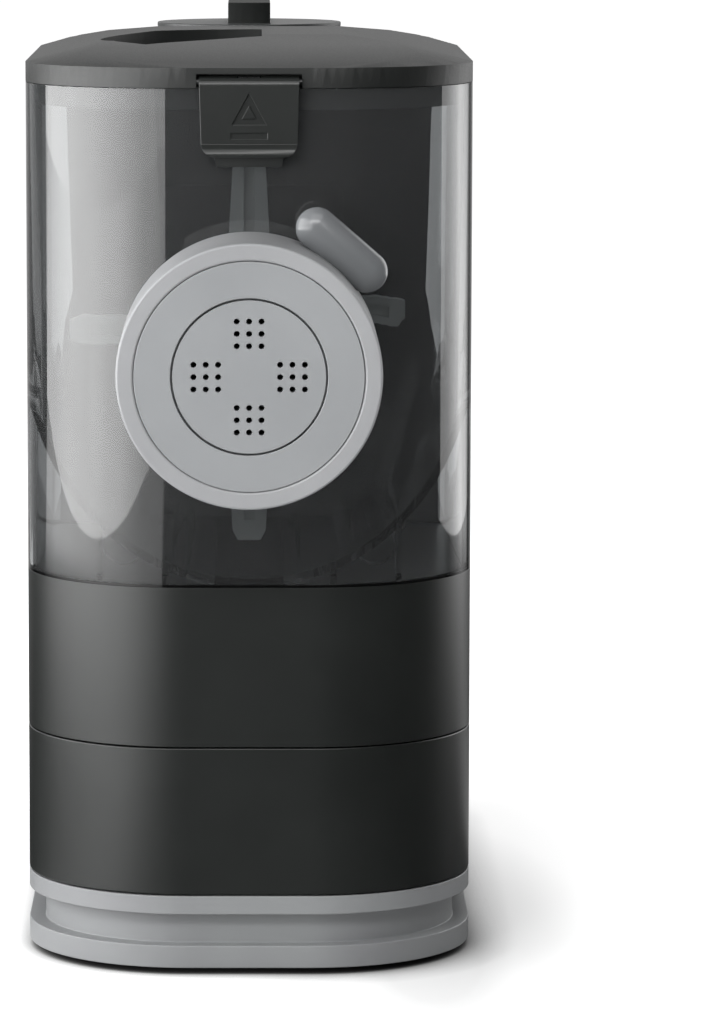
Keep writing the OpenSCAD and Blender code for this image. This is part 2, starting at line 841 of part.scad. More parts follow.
// Pouring opening: a slice of a disc, from straight back round to the front left
module pour_shape(grow = 0) {
    far = 2 * slot_r;
    intersection() {
        translate([slot_x, slot_y]) circle(slot_r + grow, $fn = fine);
        translate([slot_x + grow, slot_y - grow * (sqrt(2) - 1)])
            polygon([[0, 0], [0, far], [-far, far], [-far, -far]]);
    }
}

module lid() {
    color("#5f6160") at_front() difference() {
        union() {
            intersection() {
                slab(rim_z, crown_z + eps) body_plan();
                span(body_w, 0, lid_end_y, rim_z, crown_z + 1);
            }
            crown(crown_z, crown_h, 0, lid_end_y, [0, 6.5, 13, 22, 38], [0, 14, 32, 60, 100],
                [0, 0.3, 0.56, 0.8, 1]);
            for (x = lid_knuckle_x) {
                x_cyl(knuckle_r, x, 7);
                span(7, lid_end_y - 1, hinge_y, hinge_z - knuckle_r, hinge_z, x);
            }
        }
        // Hollow under the crown
        intersection() {
            slab(rim_z - 1, crown_z - 0.6) body_plan(wall);
            span(body_w, wall + 6, lid_end_y - wall, rim_z - 1, crown_z);
        }
        slab(rim_z - 2, crown_z + 20) pour_shape();
        for (x = lid_knuckle_x) x_cyl(hinge_pin_r + run, x, 9);
        // Notch for the latch, bored for its pin
        span(latch_w + 1.6, -1, latch_pin_y + latch_roll_r + 0.4, rim_z - 1, latch_pin_z + 2.4);
        x_cyl(1.05, 0, latch_w + 9, latch_pin_y, latch_pin_z);
    }
}

module lid_liner() {
    inset = chamber_wall + skirt_gap;
    color("#3c3e3e") at_front() difference() {
        union() {
            intersection() {
                slab(rim_z, rim_z + 2.2) body_plan(wall + 0.2);
                span(body_w, wall + 6.4, lid_end_y - wall - 0.3, rim_z, crown_z);
            }
            slab(rim_z - skirt_h, rim_z) chamber_plan(inset);
            slab(rim_z - 1, crown_z - 0.6) pour_shape(2);
        }
        slab(rim_z - skirt_h - 1, rim_z - 1.4) chamber_plan(inset + 2);
        slab(rim_z - skirt_h - 2, crown_z + 20) pour_shape();
    }
}

module lid_hinge_pins() {
    color("silver") at_front() for (s = [-1, 1]) x_cyl(hinge_pin_r, s * knuckle_mid, 22);
}

latch_pin_y = 1.4;
latch_pin_z = rim_z + 1.7;
latch_roll_r = 1.8;
keeper_w = 14;
keeper_t = 1.6;
keeper_drop = 19;

latch_lip_drop = latch_l + 1.6;

// Front view of the latch: tapered, with round lower corners and a narrower tongue below
module latch_outline() {
    corner_r = 4;
    low_w = latch_w - 1.2;
    right = concat(
        [[latch_w / 2, 3]],
        [for (a = [0:15:75]) [
            low_w / 2 - corner_r * (1 - cos(a)),
            corner_r * (1 - sin(a)) - latch_lip_drop
        ]],
        [[low_w / 2 - corner_r, -latch_lip_drop], [9.5, -latch_lip_drop - 3]]
    );
    polygon(concat(right, [for (k = [len(right) - 1:-1:0]) [-right[k][0], right[k][1]]]));
}

// Side view of the latch: a thin plate below its roll, flared at the foot for the finger
module latch_side() {
    d = latch_lip_drop;
    polygon(concat(
        [[-5.4, -d + 0.8], [-4.9, -d + 2.2], [-3.2, -d + 3.6]],
        [[-3.2, -0.8], [-2.9, 0.3], [-2.2, 1], [-1.2, 1.3], [0.4, 1.45]],
        [for (a = [90:-15:-90]) [latch_pin_y + latch_roll_r * cos(a), latch_roll_r * sin(a)]],
        [[-0.6, -latch_roll_r], [-0.6, -d - 3], [-2.6, -d - 3], [-3.4, -d], [-5, -d]]
    ));
}

module latch() {
    z1 = latch_pin_z;
    color("#1c1e1e") at_front() difference() {
        intersection() {
            translate([0, 0, z1]) along_x(latch_w) latch_side();
            translate([0, 0, z1]) along_y(-8, 6) latch_outline();
        }
        x_cyl(1.05, 0, latch_w + 2, latch_pin_y, z1);
        // Seat of the spring behind the roll, and channel that straddles the keeper
        span(7, -0.8, latch_pin_y + 3, z1 - 3, z1 + 3);
        span(keeper_w + 1, -keeper_t - 0.4, 0, z1 - latch_lip_drop - 4, z1 - 12);
    }
}

module latch_pin() {
    color("silver") at_front() x_cyl(1, 0, latch_w + 8, latch_pin_y, latch_pin_z);
}

module latch_spring() {
    color("silver") at_front() difference() {
        x_cyl(1.7, 0, 6.4, latch_pin_y, latch_pin_z);
        x_cyl(1.05, 0, 8, latch_pin_y, latch_pin_z);
    }
}

// ---------------------------------------------------------------- control
dial_shaft_r = 4;

module selector_dial() {
    z0 = cover_z + cover_crown_h + 0.4;
    color("#3c3e3e") at_front() translate([0, dial_y, z0]) {
        cylinder(r = dial_r, h = dial_h, $fn = fine);
        intersection() {
            cylinder(r = dial_r - 6, h = dial_h + grip_h, $fn = 64);
            translate([-grip_w / 2, -dial_r, 0]) cube([grip_w, 2 * dial_r, dial_h + grip_h]);
        }
        difference() {
            translate([0, 0, -3]) cylinder(r = dial_shaft_r - 0.2, h = 3 + eps, $fn = 32);
            translate([0, 0, -4]) cylinder(r = 3, h = 4, $fn = 32);
        }
    }
}

module dial_shaft() {
    color("silver") at_front() translate([0, dial_y, cover_z - 7])
        cylinder(r = 3, h = 7 + cover_crown_h + 0.4, $fn = 32);
}

module rotary_switch() {
    color("#2d4a3a") at_front() translate([0, dial_y, 0]) difference() {
        span(26, -13, 13, rim_z - 18, cover_hollow_z);
        translate([0, 0, cover_z - 7]) cylinder(r = 3.05, h = 12, $fn = 32);
    }
}

module interlock_switch() {
    color("#202224") at_front() span(8, tower_y + wall, tower_y + wall + 20, seat_z - 15, seat_z - 2, -40);
}

// ---------------------------------------------------------------- drive
module output_shaft() {
    color("silver") at_front() {
        y_cyl(shaft_r, tower_y - 2, case_end_y + case_wall - tower_y + 2, axis_z);
        translate([0, drive_y + 0.6, axis_z]) rotate([-90, 0, 0])
            cylinder(r = hex_r, h = tower_y - drive_y - 2.6 + eps, $fn = 6);
    }
}

module output_gear() {
    color("#d8d4c4") at_front() translate([0, stage2_y + face_w2, axis_z]) rotate([90, 0, 0])
        difference() {
            linear_extrude(face_w2) rotate(180 / output_teeth - 90) gear_2d(output_teeth, module_2);
            translate([0, 0, -1]) cylinder(r = shaft_r, h = face_w2 + 2, $fn = 32);
            for (k = [0:5]) rotate(60 * k) translate([output_teeth * module_2 / 3.2, 0, -1])
                cylinder(r = 5, h = face_w2 + 2, $fn = 32);
        }
}

module output_bush() {
    color("#b08d57") at_front() difference() {
        y_cyl(bush_r - 0.02, tower_y - 1, wall + 1, axis_z);
        y_cyl(shaft_r + run, tower_y - 2, wall + 4, axis_z);
    }
}

module lay_gears() {
    color("#e0dccb") at_front() difference() {
        union() {
            translate([0, stage1_y + face_w1, lay_z]) rotate([90, 0, 0])
                linear_extrude(face_w1) rotate(lay_turn_1) gear_2d(lay_big_teeth, module_1);
            translate([0, stage2_y + face_w2, lay_z]) rotate([90, 0, 0])
                linear_extrude(face_w2 + 4 + eps) rotate(lay_turn_2)
                    gear_2d(lay_small_teeth, module_2);
        }
        y_cyl(4 + run, stage1_y - 1, stage2_y + face_w2 - stage1_y + 2, lay_z, 0, 32);
        for (k = [0:5]) rotate_about_y(60 * k + 30, lay_z)
            y_cyl(5.5, stage1_y - 1, face_w1 + 2, 24, 0, 32);
    }
}

module rotate_about_y(a, z) {
    translate([0, 0, z]) rotate([0, a, 0]) children();
}

// A tooth of the lay gears points at the space that the gear above or below turns to it
lay_turn_1 = -90;
lay_turn_2 = 90;

module lay_axle() {
    color("silver") at_front()
        y_cyl(4, case_y + case_wall - 1, case_end_y - case_y - case_wall + 2.5, lay_z, 0, 32);
}

module case_outline(grow = 0) {
    for (z = [case_low_z, axis_z]) translate([0, z]) circle(case_r + grow, $fn = 64);
    translate([-case_r - grow, case_low_z]) square([2 * (case_r + grow), axis_z - case_low_z]);
}

module gearbox_case() {
    color("#8a8d90") at_front() difference() {
        union() {
            along_y(case_y, case_end_y) case_outline();
            for (s = [-1, 1], z = [case_low_z + 6, axis_z - 6])
                y_cyl(5, tower_y + wall, case_y - tower_y - wall + eps, z, s * (case_r - 8), 32);
        }
        along_y(case_y + case_wall, case_end_y + 1) case_outline(-2.5);
        y_cyl(shaft_r + 0.3, case_y - 1, 8, axis_z);
        y_cyl(4 + run, case_y + case_wall - 1 - eps, 4, lay_z, 0, 32);
        y_cyl(motor_shaft_r + 4, case_y - 1, 8, motor_z);
    }
}

module gearbox_cover() {
    color("#8a8d90") at_front() difference() {
        along_y(case_end_y, case_end_y + case_wall) case_outline();
        y_cyl(shaft_r + run, case_end_y - 1, 8, axis_z);
        y_cyl(4 + run, case_end_y - 1, 2.6, lay_z, 0, 32);
        y_cyl(motor_shaft_r + 1, case_end_y - 1, 8, motor_z);
    }
}

module gearbox_screws() {
    color("silver") at_front() for (s = [-1, 1], z = [case_low_z + 6, axis_z - 6])
        y_cyl(2.6, case_end_y + case_wall, 1.8, z, s * (case_r - 6), 24);
}

module motor_pinion() {
    color("#c8a860") at_front() difference() {
        translate([0, stage1_y + face_w1 + 1, motor_z]) rotate([90, 0, 0])
            linear_extrude(face_w1 + 2) rotate(90 + 180 / pinion_teeth)
                gear_2d(pinion_teeth, module_1);
        y_cyl(motor_shaft_r, stage1_y - 3, face_w1 + 8, motor_z);
    }
}

module motor_shaft() {
    color("silver") at_front() y_cyl(motor_shaft_r, stage1_y - 2, shaft_end_y - stage1_y + 2, motor_z);
}

module rotor() {
    color("#707478") at_front() difference() {
        y_cyl(rotor_r, stator_y, stator_l, motor_z, 0, 64);
        y_cyl(motor_shaft_r, stator_y - 1, stator_l + 2, motor_z);
        for (k = [0:11]) rotate_about_y(30 * k, motor_z)
            y_cyl(1.6, stator_y - 1, stator_l + 2, rotor_r - 1, 0, 16);
    }
}

comm_y = stator_y + stator_l + 6;
module commutator() {
    color("#b87333") at_front() difference() {
        y_cyl(10, comm_y, 9, motor_z);
        y_cyl(motor_shaft_r, comm_y - 1, 12, motor_z);
    }
}

module cooling_fan() {
    color("#d8d8d8") at_front() difference() {
        union() {
            y_cyl(8, fan_y, fan_t, motor_z);
            y_cyl(fan_r, fan_y, 1.5, motor_z, 0, 64);
            for (k = [0:fan_blades - 1]) rotate_about_y(360 / fan_blades * k, motor_z)
                span(1.4, fan_y, fan_y + fan_t, 7, fan_r - 1);
        }
        y_cyl(motor_shaft_r, fan_y - 1, fan_t + 2, motor_z);
    }
}

module stator() {
    color("#5c6064") at_front() difference() {
        y_cyl(stator_r, stator_y, stator_l, motor_z, 0, 64);
        y_cyl(rotor_r + air_gap, stator_y - 1, stator_l + 2, motor_z, 0, 64);
        for (s = [-1, 1]) span(9, stator_y - 1, stator_y + stator_l + 1, motor_z - 12,
            motor_z + 12, s * (rotor_r + air_gap + 2.6));
        bolt_places() y_cyl(1.85, stator_y - 1, stator_l + 2, 0, 0, 24);
    }
}

module field_coils() {
    color("#b06a30") at_front() for (s = [-1, 1])
        intersection() {
            span(7, stator_y - 7, stator_y + stator_l + 5, motor_z - 11.6, motor_z + 11.6,
                s * (rotor_r + air_gap + 3.6));
            difference() {
                y_cyl(stator_r - 1, stator_y - 8, stator_l + 16, motor_z, 0, 64);
                y_cyl(rotor_r + air_gap + 0.1, stator_y - 9, stator_l + 18, motor_z, 0, 64);
            }
        }
}

module motor_brackets() {
    color("#9a9da0") at_front() for (y = [motor_y, bracket2_y]) difference() {
        y_cyl(stator_r, y, bracket_t, motor_z, 0, 64);
        y_cyl(9.5, y - 1, bracket_t + 2, motor_z);
        for (k = [0:3]) rotate_about_y(90 * k + 60, motor_z)
            y_cyl(6, y - 1, bracket_t + 2, 17, 0, 32);
        bolt_places() y_cyl(1.85, y - 1, bracket_t + 2, 0, 0, 24);
    }
}

// Through bolts that hold the two brackets to the stator
module bolt_places() {
    for (a = [35, 145, 215, 325])
        rotate_about_y(a, motor_z) translate([0, 0, stator_r - 4]) children();
}

module motor_bolts() {
    color("silver") at_front() bolt_places()
        y_cyl(1.8, motor_y, bracket2_y + bracket_t + 1 - motor_y, 0, 0, 24);
}

module motor_bearings() {
    color("silver") at_front() for (y = [motor_y, bracket2_y]) difference() {
        y_cyl(9.5 - 0.02, y, bracket_t, motor_z);
        y_cyl(motor_shaft_r + 0.02, y - 1, bracket_t + 2, motor_z);
    }
}

module brush_holders() {
    color("#b8935a") at_front() for (s = [-1, 1])
        span(12, comm_y + 1.5, bracket2_y, motor_z - 4, motor_z + 4, s * 16.4);
}

cradle_w = 40;
module motor_cradle() {
    color("#44474a") at_front() difference() {
        union() {
            for (y = [stator_y + 2, stator_y + 18])
                span(cradle_w, y, y + 4, drawer_z + wall, motor_z - 14);
            span(cradle_w, stator_y + 2, stator_y + 22, drawer_z + wall, drawer_z + wall + 3);
        }
        y_cyl(stator_r + run, stator_y, stator_l, motor_z, 0, 64);
    }
}

// Control board on four posts; its parts are placed in shares of the board
board_w = 80;
board_l = 100;
board_y = 40;
board_t = 1.6;
post_h = 6;
board_z = deck_z + wall + post_h;

module control_board() {
    color("#1f6b3a") at_front() {
        span(board_w, board_y, board_y + board_l, board_z, board_z + board_t);
        for (s = [-1, 1], y = [board_y + 6, board_y + board_l - 6])
            translate([s * (board_w / 2 - 6), y, deck_z + wall])
                cylinder(r = 3, h = post_h + eps, $fn = 24);
    }
}

module board_parts() {
    z = board_z + board_t;
    color("#2c2f33") at_front() translate([0, board_y, z]) {
        span(board_w * 0.32, board_l * 0.12, board_l * 0.34, 0, 20, -board_w / 4);
        span(board_w * 0.22, board_l * 0.44, board_l * 0.6, 0, 14, board_w * 0.28);
        span(board_w * 0.3, board_l * 0.72, board_l * 0.9, 0, 9, board_w * 0.22);
        for (x = [-0.32, -0.12]) translate([board_w * x, board_l * 0.6, 0])
            cylinder(r = 6, h = 22, $fn = 32);
    }
}

base_tray();
rubber_feet();
base_screws();
main_housing();
rear_cover();
tower_back();
rear_screws();
tower_cover();
drive_plate();
plate_screws();
cord_inlet();
drawer_front();
drawer_tray();
mixing_chamber();
chamber_seal();
latch_keeper();
extrusion_tube();
auger();
mixing_paddle();
shaping_disc();
disc_seal();
lock_ring();
ring_face();
ring_sleeve();
ring_claws();
ring_lever();
lid();
lid_liner();
lid_hinge_pins();
latch();
latch_pin();
latch_spring();
selector_dial();
dial_shaft();
rotary_switch();
interlock_switch();
output_shaft();
output_gear();
output_bush();
lay_gears();
lay_axle();
gearbox_case();
gearbox_cover();
gearbox_screws();
motor_pinion();
motor_shaft();
rotor();
commutator();
cooling_fan();
stator();
field_coils();
motor_brackets();
motor_bearings();
motor_bolts();
brush_holders();
motor_cradle();
control_board();
board_parts();
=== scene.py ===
import json
import math

import bmesh
import bpy
from mathutils import Matrix, Vector


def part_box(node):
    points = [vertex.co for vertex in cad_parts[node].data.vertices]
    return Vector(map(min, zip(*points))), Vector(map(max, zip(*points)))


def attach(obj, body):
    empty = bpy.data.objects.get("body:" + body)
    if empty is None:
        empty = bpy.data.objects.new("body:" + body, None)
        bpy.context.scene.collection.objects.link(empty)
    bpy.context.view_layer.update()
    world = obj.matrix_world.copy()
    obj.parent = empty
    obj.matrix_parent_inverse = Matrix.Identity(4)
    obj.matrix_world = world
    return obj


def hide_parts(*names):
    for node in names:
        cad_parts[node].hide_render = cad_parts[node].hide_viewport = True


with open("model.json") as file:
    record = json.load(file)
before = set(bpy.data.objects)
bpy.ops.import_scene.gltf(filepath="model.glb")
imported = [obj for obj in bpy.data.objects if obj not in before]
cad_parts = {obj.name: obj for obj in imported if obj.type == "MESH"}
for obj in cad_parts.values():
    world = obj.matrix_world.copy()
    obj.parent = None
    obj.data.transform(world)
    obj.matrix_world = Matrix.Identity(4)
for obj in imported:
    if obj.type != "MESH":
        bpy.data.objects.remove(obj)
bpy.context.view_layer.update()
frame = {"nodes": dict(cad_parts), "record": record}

scene = bpy.context.scene


def linear(hexColour):
    parts = [int(hexColour[i:i + 2], 16) / 255 for i in (1, 3, 5)]
    return [p / 12.92 if p <= 0.04045 else ((p + 0.055) / 1.055) ** 2.4 for p in parts] + [1.0]


def addNode(tree, kind, settings, inputs):
    made = tree.nodes.new(kind)
    for name, value in settings.items():
        setattr(made, name, value)
    for key, value in inputs.items():
        if isinstance(value, bpy.types.NodeSocket):
            tree.links.new(value, made.inputs[key])
        else:
            made.inputs[key].default_value = value
    return made


def calc(tree, operation, *values):
    return addNode(tree, "ShaderNodeMath", {"operation": operation}, dict(enumerate(values))).outputs[0]


def split(tree, vector):
    return addNode(tree, "ShaderNodeSeparateXYZ", {}, {0: vector}).outputs


def mix(tree, kind, factor, first, second):
    mixed = addNode(tree, "ShaderNodeMix", {"data_type": kind}, {"Factor": factor, "A": first, "B": second})
    return mixed.outputs["Result"]


def placeForm(form, mesh, name):
    form.to_mesh(mesh)
    form.free()
    made = bpy.data.objects.new(name, mesh)
    scene.collection.objects.link(made)
    return made


# camera: a long lens a little above the machine, the frame opened to its right

camera = {
    "place": (0, -1.6427, 0.3376), "down": 7.40,
    "lens": 183.1, "sensor": 36, "shift": 0.102,
    "nearest": 0.05, "farthest": 80,
}

view = bpy.data.objects.new("view", bpy.data.cameras.new("view"))
view.data.lens = camera["lens"]
view.data.sensor_width = camera["sensor"]
view.data.shift_x = camera["shift"]
view.data.clip_start = camera["nearest"]
view.data.clip_end = camera["farthest"]
view.location = camera["place"]
view.rotation_euler = (math.radians(90 - camera["down"]), 0, 0)
scene.collection.objects.link(view)
scene.camera = view
print("stage: camera set")


# studio: a white sweep, the camera's side in the dark, a tall graded softbox on the left, a strip
# behind on the right and two boxes overhead in front

studio = {
    "fill": 0.06,               # even light on matt surfaces
    "darkSide": 0.01,           # what gloss mirrors towards the camera
    "paleFrom": 0.15, "paleTo": 0.85, "paleBehind": 0.8,
    "softboxes": [
        # name, azimuth from the front (left is minus), foot, head, distance, width, luminance at even
        # stations across it
        ("keyLow", -67, 0.0, 0.16, 1.05, 2.42, (2.25, 2.4, 3.9, 4.9, 4.8, 2.8, 1.6)),
        ("keyHigh", -67, 0.16, 1.0, 1.05, 2.42, (4.2, 4.6, 2.4)),
        ("strip", 125, 0.0, 0.95, 0.95, 0.9, (2.0, 2.0, 0.0)),
    ],
    "overhead": [
        # name, place, width, height, luminance: a soft box for the tops, a bright bar for raised edges
        ("frontTop", (0.0, -0.88, 1.25), 1.2, 0.9, 1.5),
        ("edgeBar", (-0.1, -1.05, 0.78), 0.9, 0.22, 7.0),
    ],
    "overheadAim": (0, 0, 0.2),
}


def seenStraight(tree, rays):
    # what the lens sees, also through clear plastic
    return calc(tree, "MAXIMUM", rays["Is Camera Ray"], rays["Is Transmission Ray"])


scene.view_settings.view_transform = "Standard"
world = bpy.data.worlds.new("studio")
world.use_nodes = True
scene.world = world
worldTree = world.node_tree
worldTree.nodes.clear()
rays = addNode(worldTree, "ShaderNodeLightPath", {}, {}).outputs
heading = addNode(worldTree, "ShaderNodeTexCoord", {}, {}).outputs["Generated"]
behind = addNode(worldTree, "ShaderNodeMapRange", {"interpolation_type": "SMOOTHSTEP"},
                 {"Value": split(worldTree, heading)["Y"],
                  "From Min": studio["paleFrom"], "From Max": studio["paleTo"],
                  "To Min": studio["darkSide"], "To Max": studio["paleBehind"]})
unseen = mix(worldTree, "FLOAT", rays["Is Glossy Ray"], studio["fill"], behind.outputs["Result"])
level = mix(worldTree, "FLOAT", seenStraight(worldTree, rays), unseen, 1.0)
glow = addNode(worldTree, "ShaderNodeBackground", {}, {"Color": (1, 1, 1, 1), "Strength": level})
addNode(worldTree, "ShaderNodeOutputWorld", {}, {"Surface": glow.outputs[0]})


def throughStations(tree, value, stations):
    # a line drawn through (place, level) stations; the curve itself holds shares of the highest
    most = max(level for place, level in stations)
    shares = addNode(tree, "ShaderNodeFloatCurve", {}, {"Value": value})
    line = shares.mapping.curves[0]
    while len(line.points) < len(stations):
        line.points.new(0.5, 0.5)
    for point, (place, level) in zip(line.points, stations):
        point.location = (place, level / most)
        point.handle_type = "VECTOR"
    shares.mapping.update()
    return calc(tree, "MULTIPLY", shares.outputs[0], most)


def addLamp(name, place, aim, wide, tall, luminances):
    lamp = bpy.data.lights.new(name, "AREA")
    lamp.shape = "RECTANGLE"
    lamp.size = wide
    lamp.size_y = tall
    lamp.energy = wide * tall * math.pi     # a strength of 1 is then a luminance of 1
    lamp.use_nodes = True
    tree = lamp.node_tree
    face = addNode(tree, "ShaderNodeNewGeometry", {}, {})
    across = split(tree, face.outputs["Parametric"])["X"]
    stations = [(i / (len(luminances) - 1), luminance) for i, luminance in enumerate(luminances)]
    tree.links.new(throughStations(tree, across, stations), tree.nodes["Emission"].inputs["Strength"])
    box = bpy.data.objects.new(name, lamp)
    box.location = place
    box.rotation_euler = (Vector(aim) - Vector(place)).to_track_quat("-Z", "Y").to_euler()
    box.visible_camera = False
    box.visible_transmission = False
    scene.collection.objects.link(box)


for name, azimuth, foot, head, away, wide, luminances in studio["softboxes"]:
    turn = math.radians(azimuth)
    middle = (foot + head) / 2
    place = (away * math.sin(turn), -away * math.cos(turn), middle)
    addLamp(name, place, (0, 0, middle), wide, head - foot, luminances)
for name, place, wide, tall, luminance in studio["overhead"]:
    addLamp(name, place, studio["overheadAim"], wide, tall, (luminance, luminance))


# sweep: white paper that the machine shades, with painted shade added beside and under the machine, and a painted
# glow that only gloss sees

sweep = {
    "size": 40.0, "colour": "#ececec",
    # the light the paper gives off to the lens, by distance from a spot at the machine's right, which is narrow
    # sideways: low near the spot, a painted shadow over the paper's real shade
    "shadeSpot": (0.055, -0.10), "shadeNarrow": 4.0,
    "paintedShadowLift": [(0.0, 0.1), (0.06, 0.13), (0.1, 0.31), (0.16, 0.45), (0.23, 0.67), (0.31, 0.75), (0.6, 1.0),
              (1.0, 1.0)],
    # painted contact shade: the darker line where the machine stands, the paper's colour and its own light darkened
    # by occlusion
    "contactReach": 0.016, "contactDepth": 1.5, "contactSamples": 16,
    # painted light that only gloss sees: the paper's own glow by azimuth in degrees, near the machine and at the
    # softbox's foot, seen as a painted reflection
    "glowNear": [(-180, 0.6), (-140, 0.0), (-85, 0.0), (-60, 0.5), (-40, 1.03), (-22, 0.0), (60, 0.0),
                 (90, 0.04), (110, 0.0), (130, 0.6), (150, 0.0), (180, 0.6)],
    "glowFar": [(-180, 0.6), (-140, 0.0), (-116.5, 0.0), (-116, 1.5), (-104.5, 2.7), (-88, 4.6), (-67, 4.7),
                (-46, 3.1), (-29.5, 1.7), (-18, 1.4), (-17.5, 0.0), (60, 0.0), (90, 0.04), (110, 0.0),
                (130, 1.5), (150, 0.0), (180, 0.6)],
    "nearEnds": 0.78, "farStarts": 1.02,
}


def newFinish(name):
    made = bpy.data.materials.new(name)
    made.use_nodes = True
    made.node_tree.nodes.clear()
    return made, made.node_tree


def paperLiftWithPaintedShadow(tree, spot):
    # painted shadow: the paper's own light for the lens drops near the spot at the machine's right
    spotX, spotY = sweep["shadeSpot"]
    centred = addNode(tree, "ShaderNodeMapping", {},
                      {"Vector": spot, "Scale": (sweep["shadeNarrow"], 1, 1),
                       "Location": (-spotX * sweep["shadeNarrow"], -spotY, 0)})
    span = addNode(tree, "ShaderNodeVectorMath", {"operation": "LENGTH"}, {0: centred.outputs[0]})
    return throughStations(tree, span.outputs["Value"], sweep["paintedShadowLift"])


def paintedGlossGlow(tree, spot):
    sides = split(tree, spot)
    bearing = calc(tree, "ARCTAN2", sides["X"], calc(tree, "MULTIPLY", sides["Y"], -1.0))
    share = addNode(tree, "ShaderNodeMapRange", {},
                    {"Value": bearing, "From Min": -math.pi, "From Max": math.pi, "To Min": 0.0, "To Max": 1.0})
    near, far = [throughStations(tree, share.outputs["Result"],
                                 [((azimuth + 180) / 360, level) for azimuth, level in sweep[which]])
                 for which in ("glowNear", "glowFar")]
    away = addNode(tree, "ShaderNodeVectorMath", {"operation": "LENGTH"}, {0: spot})
    reach = addNode(tree, "ShaderNodeMapRange", {"interpolation_type": "SMOOTHSTEP"},
                    {"Value": away.outputs["Value"], "From Min": sweep["nearEnds"], "From Max": sweep["farStarts"]})
    return mix(tree, "FLOAT", reach.outputs["Result"], near, far)


form = bmesh.new()
bmesh.ops.create_grid(form, x_segments=1, y_segments=1, size=sweep["size"] / 2)
floor = placeForm(form, bpy.data.meshes.new("sweep"), "sweep")
paper, paperTree = newFinish("matt paper sweep")
rays = addNode(paperTree, "ShaderNodeLightPath", {}, {}).outputs
spot = addNode(paperTree, "ShaderNodeTexCoord", {}, {}).outputs["Object"]
openness = addNode(paperTree, "ShaderNodeAmbientOcclusion", {"samples": sweep["contactSamples"]},
                   {"Distance": sweep["contactReach"]})
paintedContactShade = calc(paperTree, "POWER", openness.outputs["AO"], sweep["contactDepth"])
# painted shade: the paper's own light, low near the machine's right and lower still where the machine stands
liftWithPaintedShade = calc(paperTree, "MULTIPLY", paperLiftWithPaintedShadow(paperTree, spot), paintedContactShade)
lift = calc(paperTree, "MULTIPLY", seenStraight(paperTree, rays), liftWithPaintedShade)
# painted contact shade: the paper's colour goes to black where the machine is near
colour = mix(paperTree, "RGBA", paintedContactShade, (0, 0, 0, 1), linear(sweep["colour"]))
matt = addNode(paperTree, "ShaderNodeBsdfDiffuse", {}, {"Color": colour})
ownLight = addNode(paperTree, "ShaderNodeEmission", {}, {"Color": (1, 1, 1, 1), "Strength": lift})
plain = addNode(paperTree, "ShaderNodeAddShader", {}, {0: matt.outputs[0], 1: ownLight.outputs[0]})
# painted glow: the paper gives off this light only to gloss
mirrored = addNode(paperTree, "ShaderNodeEmission", {},
                   {"Color": (1, 1, 1, 1), "Strength": paintedGlossGlow(paperTree, spot)})
sheet = addNode(paperTree, "ShaderNodeMixShader", {},
                {0: rays["Is Glossy Ray"], 1: plain.outputs[0], 2: mirrored.outputs[0]})
addNode(paperTree, "ShaderNodeOutputMaterial", {}, {"Surface": sheet.outputs[0]})
floor.data.materials.append(paper)
print("stage: studio lit")


# finishes: two shades mottled over some centimetres, and a fine grain that breaks the gloss up

grainLook = {
    "mottle": 35, "mottleDetail": 3.0, "mottleRough": 0.5, "shadeEnds": (0.35, 0.65),
    "grainDetail": 2.0, "grainRough": 0.6,
}
noiseEnds = (0.3, 0.7)          # most of a noise lies between these


def noise(tree, place, millimetres, detail, rough):
    return addNode(tree, "ShaderNodeTexNoise", {},
                   {"Vector": place, "Scale": 1000 / millimetres, "Detail": detail,
                    "Roughness": rough}).outputs["Fac"]


def between(tree, value, ends, low, high):
    return addNode(tree, "ShaderNodeMapRange", {},
                   {"Value": value, "From Min": ends[0], "From Max": ends[1],
                    "To Min": low, "To Max": high}).outputs["Result"]


def twoShades(tree, value, shades, ends):
    ramp = addNode(tree, "ShaderNodeValToRGB", {}, {"Fac": value})
    for stop, shade, end in zip(ramp.color_ramp.elements, shades, ends):
        stop.position = end
        stop.color = linear(shade)
    return ramp.outputs["Color"]


def grainy(name, shades, gloss, ior, grain, depth, metal=0.0, stretch=(1, 1, 1)):
    # grain and depth in millimetres
    made, tree = newFinish(name)
    where = addNode(tree, "ShaderNodeTexCoord", {}, {})
    placed = addNode(tree, "ShaderNodeMapping", {},
                     {"Vector": where.outputs["Object"], "Scale": stretch}).outputs[0]
    mottle = noise(tree, placed, grainLook["mottle"], grainLook["mottleDetail"], grainLook["mottleRough"])
    fine = noise(tree, placed, grain, grainLook["grainDetail"], grainLook["grainRough"])
    bump = addNode(tree, "ShaderNodeBump", {}, {"Height": fine, "Strength": 1.0, "Distance": depth / 1000})
    skin = addNode(tree, "ShaderNodeBsdfPrincipled", {},
                   {"Base Color": twoShades(tree, mottle, shades, grainLook["shadeEnds"]),
                    "Roughness": between(tree, fine, noiseEnds, *gloss), "IOR": ior,
                    "Metallic": metal, "Normal": bump.outputs["Normal"]})
    addNode(tree, "ShaderNodeOutputMaterial", {}, {"Surface": skin.outputs["BSDF"]})
    return made


# clear plastic: polished and smoky, with a trace of haze in the wall. A thin wall hardly bends what is
# seen through it, so the bend is small and a coat carries the shine

clearLook = {
    "cloud": 60, "cloudDetail": 1.0, "cloudRough": 0.4, "gloss": (0.015, 0.03),
    "bend": 1.06, "coat": 1.5, "coatRough": 0.02,
    "farFace": 0.12,            # the wall's far face shines less: its light crosses the smoke twice
    "joint": "#0c0c0c",         # painted shade of the gap that a wall stands in, near black
    "jointHeight": 0.0008,
}


